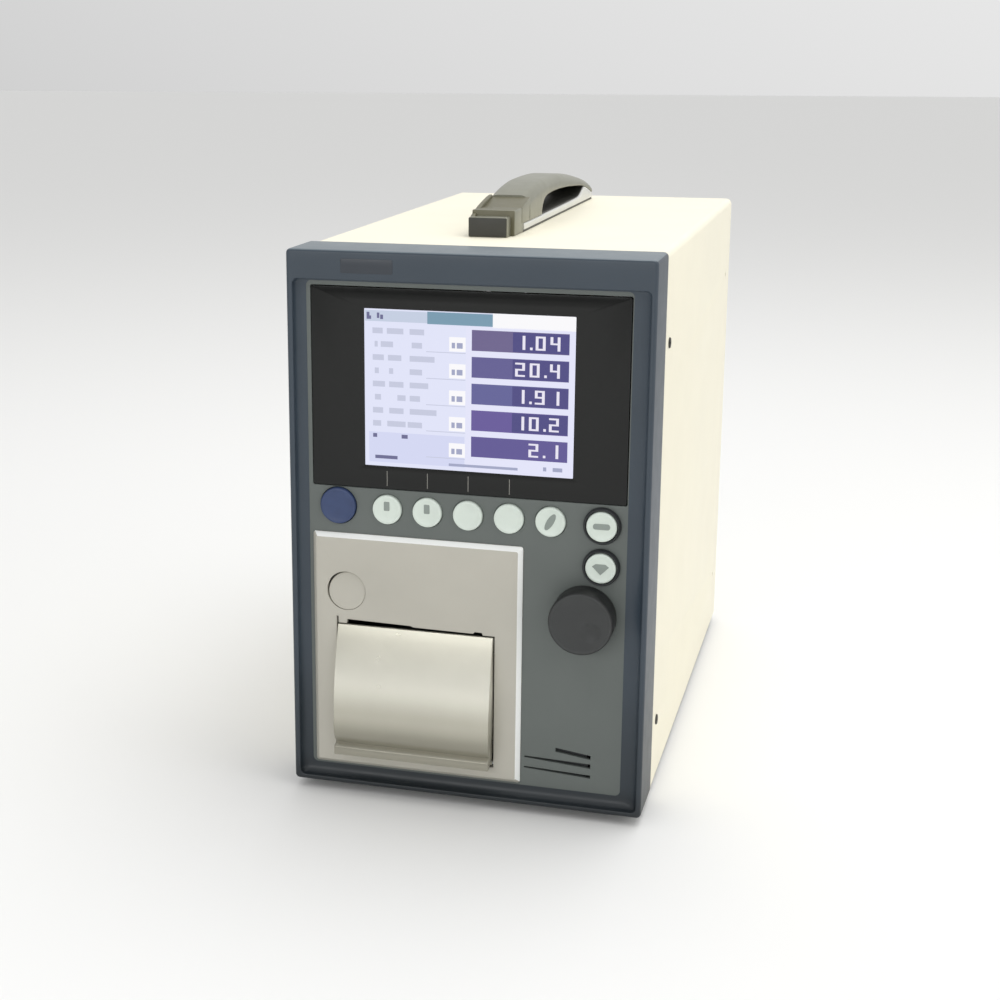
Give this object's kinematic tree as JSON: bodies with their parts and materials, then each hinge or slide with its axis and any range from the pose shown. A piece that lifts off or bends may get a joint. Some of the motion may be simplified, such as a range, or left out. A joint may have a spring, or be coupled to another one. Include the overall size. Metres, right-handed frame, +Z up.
{
  "type": "portable analyser",
  "caption": "Portable bench analyser with a display, function keys, rotary knob and built-in paper printer in a deep metal case with a top handle.",
  "frame": {"origin": "middle of the overall width and depth, on the surface that the feet stand on", "axes": "+X to the user's right, +Y from the front face to the back, +Z up"},
  "size_m": [0.2, 0.386, 0.3354],
  "materials": {
    "bezel_plastic": "fine-textured dark blue-grey moulding",
    "panel_plastic": "satin grey membrane over moulded plate",
    "window_acrylic": "polished acrylic, printed black behind",
    "display_image": "lit colour liquid-crystal display",
    "circuit_board": "green solder mask",
    "blue_key_plastic": "satin blue key",
    "white_key_plastic": "satin greenish white key",
    "black_plastic": "fine-textured black moulding",
    "knob_plastic": "soft-touch black moulding",
    "bright_steel": "bright plated steel",
    "dark_steel": "blackened steel",
    "zinc_sheet": "zinc-plated sheet",
    "rubber": "black rubber",
    "printer_plastic": "satin warm grey moulding",
    "thermal_paper": "smooth white paper",
    "gear_plastic": "natural acetal",
    "brass": "turned brass",
    "head_ceramic": "glazed ceramic heater bar",
    "cream_paint": "fine-textured cream powder coat",
    "bench_aluminium": "turned aluminium",
    "handle_plastic": "satin grey-beige moulding",
    "handle_light_plastic": "satin light grey moulding"
  },
  "bodies": {
    "chassis": {"front_bezel": "bezel_plastic", "control_panel": "panel_plastic", "display_window": "window_acrylic", "lcd_module": "display_image", "display_board": "circuit_board", "keypad_board": "circuit_board", "function_ring_upper": "black_plastic", "function_ring_lower": "black_plastic", "encoder_body": "zinc_sheet", "speaker": "black_plastic", "printer_frame": "printer_plastic", "door_hinge_pin": "bright_steel", "paper_well": "black_plastic", "print_mechanism": "zinc_sheet", "printer_motor": "zinc_sheet", "thermal_head": "head_ceramic", "tear_bar": "bright_steel", "case_cover": "cream_paint", "base_chassis": "zinc_sheet", "rear_panel": "cream_paint", "mains_inlet": "black_plastic", "fan_frame": "black_plastic", "fan_guard": "bright_steel", "data_connector": "bright_steel", "sample_inlet_port": "brass", "sample_outlet_port": "brass", "foot_front_left": "rubber", "foot_front_right": "rubber", "foot_rear_left": "rubber", "foot_rear_right": "rubber", "cover_screw_left_lower": "dark_steel", "cover_screw_left_upper": "dark_steel", "cover_screw_right_lower": "dark_steel", "cover_screw_right_upper": "dark_steel", "power_supply": "circuit_board", "main_board": "circuit_board", "sample_pump": "zinc_sheet", "measuring_bench": "bench_aluminium", "handle_base": "handle_light_plastic", "handle_grip": "handle_plastic", "handle_pad": "rubber"},
    "power_button": {"power_button": "blue_key_plastic"},
    "soft_key_1": {"soft_key_1": "white_key_plastic"},
    "soft_key_2": {"soft_key_2": "white_key_plastic"},
    "soft_key_3": {"soft_key_3": "white_key_plastic"},
    "soft_key_4": {"soft_key_4": "white_key_plastic"},
    "soft_key_5": {"soft_key_5": "white_key_plastic"},
    "function_key_upper": {"function_key_upper": "white_key_plastic"},
    "function_key_lower": {"function_key_lower": "white_key_plastic"},
    "door_release": {"door_release_button": "printer_plastic"},
    "knob": {"control_knob": "knob_plastic", "encoder_shaft": "bright_steel"},
    "printer_door": {"printer_door": "printer_plastic"},
    "platen": {"platen_roller": "rubber", "platen_gear": "gear_plastic"},
    "idler": {"idler_gear": "gear_plastic"},
    "pinion": {"motor_pinion": "brass"},
    "paper_roll": {"paper_roll": "thermal_paper"},
    "mains_rocker": {"mains_switch": "black_plastic"},
    "fan": {"fan_rotor": "black_plastic"}
  },
  "joints": [
    {"name": "power_button_press", "type": "slide", "parent": "chassis", "child": "power_button", "axis": [0, 1, 0], "range_m": [0, 0.0012], "stiffness_N_per_m": 400},
    {"name": "soft_key_1_press", "type": "slide", "parent": "chassis", "child": "soft_key_1", "axis": [0, 1, 0], "range_m": [0, 0.0012], "stiffness_N_per_m": 400},
    {"name": "soft_key_2_press", "type": "slide", "parent": "chassis", "child": "soft_key_2", "axis": [0, 1, 0], "range_m": [0, 0.0012], "stiffness_N_per_m": 400},
    {"name": "soft_key_3_press", "type": "slide", "parent": "chassis", "child": "soft_key_3", "axis": [0, 1, 0], "range_m": [0, 0.0012], "stiffness_N_per_m": 400},
    {"name": "soft_key_4_press", "type": "slide", "parent": "chassis", "child": "soft_key_4", "axis": [0, 1, 0], "range_m": [0, 0.0012], "stiffness_N_per_m": 400},
    {"name": "soft_key_5_press", "type": "slide", "parent": "chassis", "child": "soft_key_5", "axis": [0, 1, 0], "range_m": [0, 0.0012], "stiffness_N_per_m": 400},
    {"name": "function_key_upper_press", "type": "slide", "parent": "chassis", "child": "function_key_upper", "axis": [0, 1, 0], "range_m": [0, 0.0012], "stiffness_N_per_m": 400},
    {"name": "function_key_lower_press", "type": "slide", "parent": "chassis", "child": "function_key_lower", "axis": [0, 1, 0], "range_m": [0, 0.0012], "stiffness_N_per_m": 400},
    {"name": "door_release_press", "type": "slide", "parent": "chassis", "child": "door_release", "axis": [0, 1, 0], "range_m": [0, 0.0012], "stiffness_N_per_m": 500},
    {"name": "knob_turn", "type": "hinge", "parent": "chassis", "child": "knob", "pos_m": [0.0655, -0.184, 0.1168], "axis": [0, 1, 0], "continuous": true},
    {"name": "printer_door_hinge", "type": "hinge", "parent": "chassis", "child": "printer_door", "pos_m": [-0.029, -0.1794, 0.0266], "axis": [1, 0, 0], "range_deg": [0, 70]},
    {"name": "platen_turn", "type": "hinge", "parent": "chassis", "child": "platen", "pos_m": [-0.029, -0.162, 0.115], "axis": [1, 0, 0], "continuous": true},
    {"name": "idler_turn", "type": "hinge", "parent": "chassis", "child": "idler", "pos_m": [0.0206, -0.14396, 0.12157], "axis": [1, 0, 0], "continuous": true},
    {"name": "pinion_turn", "type": "hinge", "parent": "chassis", "child": "pinion", "pos_m": [0.0206, -0.14118, 0.13732], "axis": [1, 0, 0], "continuous": true},
    {"name": "paper_roll_turn", "type": "hinge", "parent": "chassis", "child": "paper_roll", "pos_m": [-0.029, -0.138, 0.049], "axis": [1, 0, 0], "continuous": true},
    {"name": "mains_switch_rock", "type": "hinge", "parent": "chassis", "child": "mains_rocker", "pos_m": [-0.064, 0.174, 0.077], "axis": [1, 0, 0], "range_deg": [-14, 0]},
    {"name": "fan_turn", "type": "hinge", "parent": "chassis", "child": "fan", "pos_m": [-0.06, 0.168, 0.24], "axis": [0, 1, 0], "continuous": true}
  ],
  "couplings": [
    {"joint": "idler_turn", "follows": "platen_turn", "ratio": -0.71429},
    {"joint": "pinion_turn", "follows": "platen_turn", "ratio": 1.6667}
  ]
}
